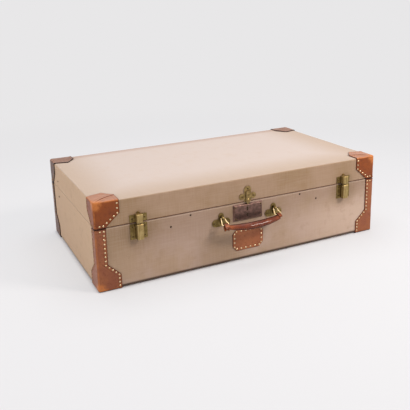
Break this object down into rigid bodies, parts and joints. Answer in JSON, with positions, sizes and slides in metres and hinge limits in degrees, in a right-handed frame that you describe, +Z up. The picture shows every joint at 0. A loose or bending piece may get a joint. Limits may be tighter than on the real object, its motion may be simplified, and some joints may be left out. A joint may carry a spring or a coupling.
{
  "type": "suitcase",
  "caption": "Flat rectangular canvas suitcase with tacked leather corners, a front handle, a lock and side latches, whose lid swings up on back hinges and folding stays.",
  "frame": {"origin": "middle of the overall box at floor level, where the lower leather corners stand", "axes": "+Z up, +X along the front from left to right, the front with the handle faces -Y"},
  "size_m": [0.753, 0.4618, 0.206],
  "materials": {
    "canvas": "worn beige cotton canvas",
    "lining": "plain cotton lining",
    "corner_leather": "worn tan leather",
    "handle_leather": "polished brown leather",
    "brass": "aged brass",
    "dark_bronze": "dark patinated bronze",
    "dark_steel": "browned steel",
    "poplar": "bare poplar ply"
  },
  "bodies": {
    "base": {"base_bottom_board": "poplar", "base_front_board": "poplar", "base_back_board": "poplar", "base_left_board": "poplar", "base_right_board": "poplar", "base_canvas": "canvas", "base_lining": "lining", "base_rim_strips": "poplar", "base_corner_front_left": "corner_leather", "base_corner_front_right": "corner_leather", "base_corner_back_left": "corner_leather", "base_corner_back_right": "corner_leather", "name_patch": "corner_leather", "base_tacks": "brass", "lock_plate": "dark_bronze", "lock_case": "dark_bronze", "handle_mount_left": "brass", "latch_base_plate_left": "brass", "latch_pin_left": "brass", "hinge_base_leaf_left": "brass", "hinge_pin_left": "brass", "handle_mount_right": "brass", "latch_base_plate_right": "brass", "latch_pin_right": "brass", "hinge_base_leaf_right": "brass", "hinge_pin_right": "brass", "base_nails": "brass", "base_rivets": "dark_steel"},
    "lid": {"lid_top_board": "poplar", "lid_front_board": "poplar", "lid_back_board": "poplar", "lid_left_board": "poplar", "lid_right_board": "poplar", "lid_canvas": "canvas", "lid_lining": "lining", "lid_corner_front_left": "corner_leather", "lid_corner_front_right": "corner_leather", "lid_corner_back_left": "corner_leather", "lid_corner_back_right": "corner_leather", "lid_tacks": "brass", "latch_lid_plate_left": "brass", "latch_keeper_left": "brass", "hinge_lid_leaf_left": "brass", "latch_lid_plate_right": "brass", "latch_keeper_right": "brass", "hinge_lid_leaf_right": "brass", "lid_nails": "brass", "lid_rivets": "dark_steel", "lock_catch": "brass"},
    "handle": {"handle_grip": "handle_leather", "handle_ring_left": "brass", "handle_ring_right": "brass"},
    "latch_lever_left": {"latch_lever_left": "brass"},
    "latch_lever_right": {"latch_lever_right": "brass"},
    "lock_bolt": {"lock_bolt": "dark_bronze"},
    "stay_base_link_left": {"stay_base_link_left": "brass"},
    "stay_base_link_right": {"stay_base_link_right": "brass"},
    "stay_lid_link_left": {"stay_lid_link_left": "brass"},
    "stay_lid_link_right": {"stay_lid_link_right": "brass"}
  },
  "joints": [
    {"name": "lid_hinge", "type": "hinge", "parent": "base", "child": "lid", "pos_m": [0, 0.22775, 0.1455], "axis": [-1, 0, 0], "range_deg": [0, 100]},
    {"name": "handle_swing", "type": "hinge", "parent": "base", "child": "handle", "pos_m": [-0.0035, -0.19525, 0.1185], "axis": [-1, 0, 0], "range_deg": [0, 95]},
    {"name": "lock_bolt_slide", "type": "slide", "parent": "base", "child": "lock_bolt", "axis": [-1, 0, 0], "range_m": [0, 0.009]},
    {"name": "latch_left_lift", "type": "hinge", "parent": "base", "child": "latch_lever_left", "pos_m": [-0.2765, -0.19675, 0.14094], "axis": [-1, 0, 0], "range_deg": [0, 110]},
    {"name": "stay_left_base_pivot", "type": "hinge", "parent": "base", "child": "stay_base_link_left", "pos_m": [-0.3636, 0.14933, 0.12153], "axis": [-1, 0, 0], "range_deg": [0, 100]},
    {"name": "stay_left_lid_pivot", "type": "hinge", "parent": "lid", "child": "stay_lid_link_left", "pos_m": [-0.3636, 0.14769, 0.16325], "axis": [-1, 0, 0], "range_deg": [-100, 0]},
    {"name": "latch_right_lift", "type": "hinge", "parent": "base", "child": "latch_lever_right", "pos_m": [0.2765, -0.19675, 0.14094], "axis": [-1, 0, 0], "range_deg": [0, 110]},
    {"name": "stay_right_base_pivot", "type": "hinge", "parent": "base", "child": "stay_base_link_right", "pos_m": [0.3636, 0.14933, 0.12153], "axis": [-1, 0, 0], "range_deg": [0, 100]},
    {"name": "stay_right_lid_pivot", "type": "hinge", "parent": "lid", "child": "stay_lid_link_right", "pos_m": [0.3636, 0.14769, 0.16325], "axis": [-1, 0, 0], "range_deg": [-100, 0]}
  ],
  "couplings": [
    {"joint": "stay_left_base_pivot", "follows": "lid_hinge", "ratio": 1},
    {"joint": "stay_left_lid_pivot", "follows": "lid_hinge", "ratio": -1},
    {"joint": "stay_right_base_pivot", "follows": "lid_hinge", "ratio": 1},
    {"joint": "stay_right_lid_pivot", "follows": "lid_hinge", "ratio": -1}
  ]
}
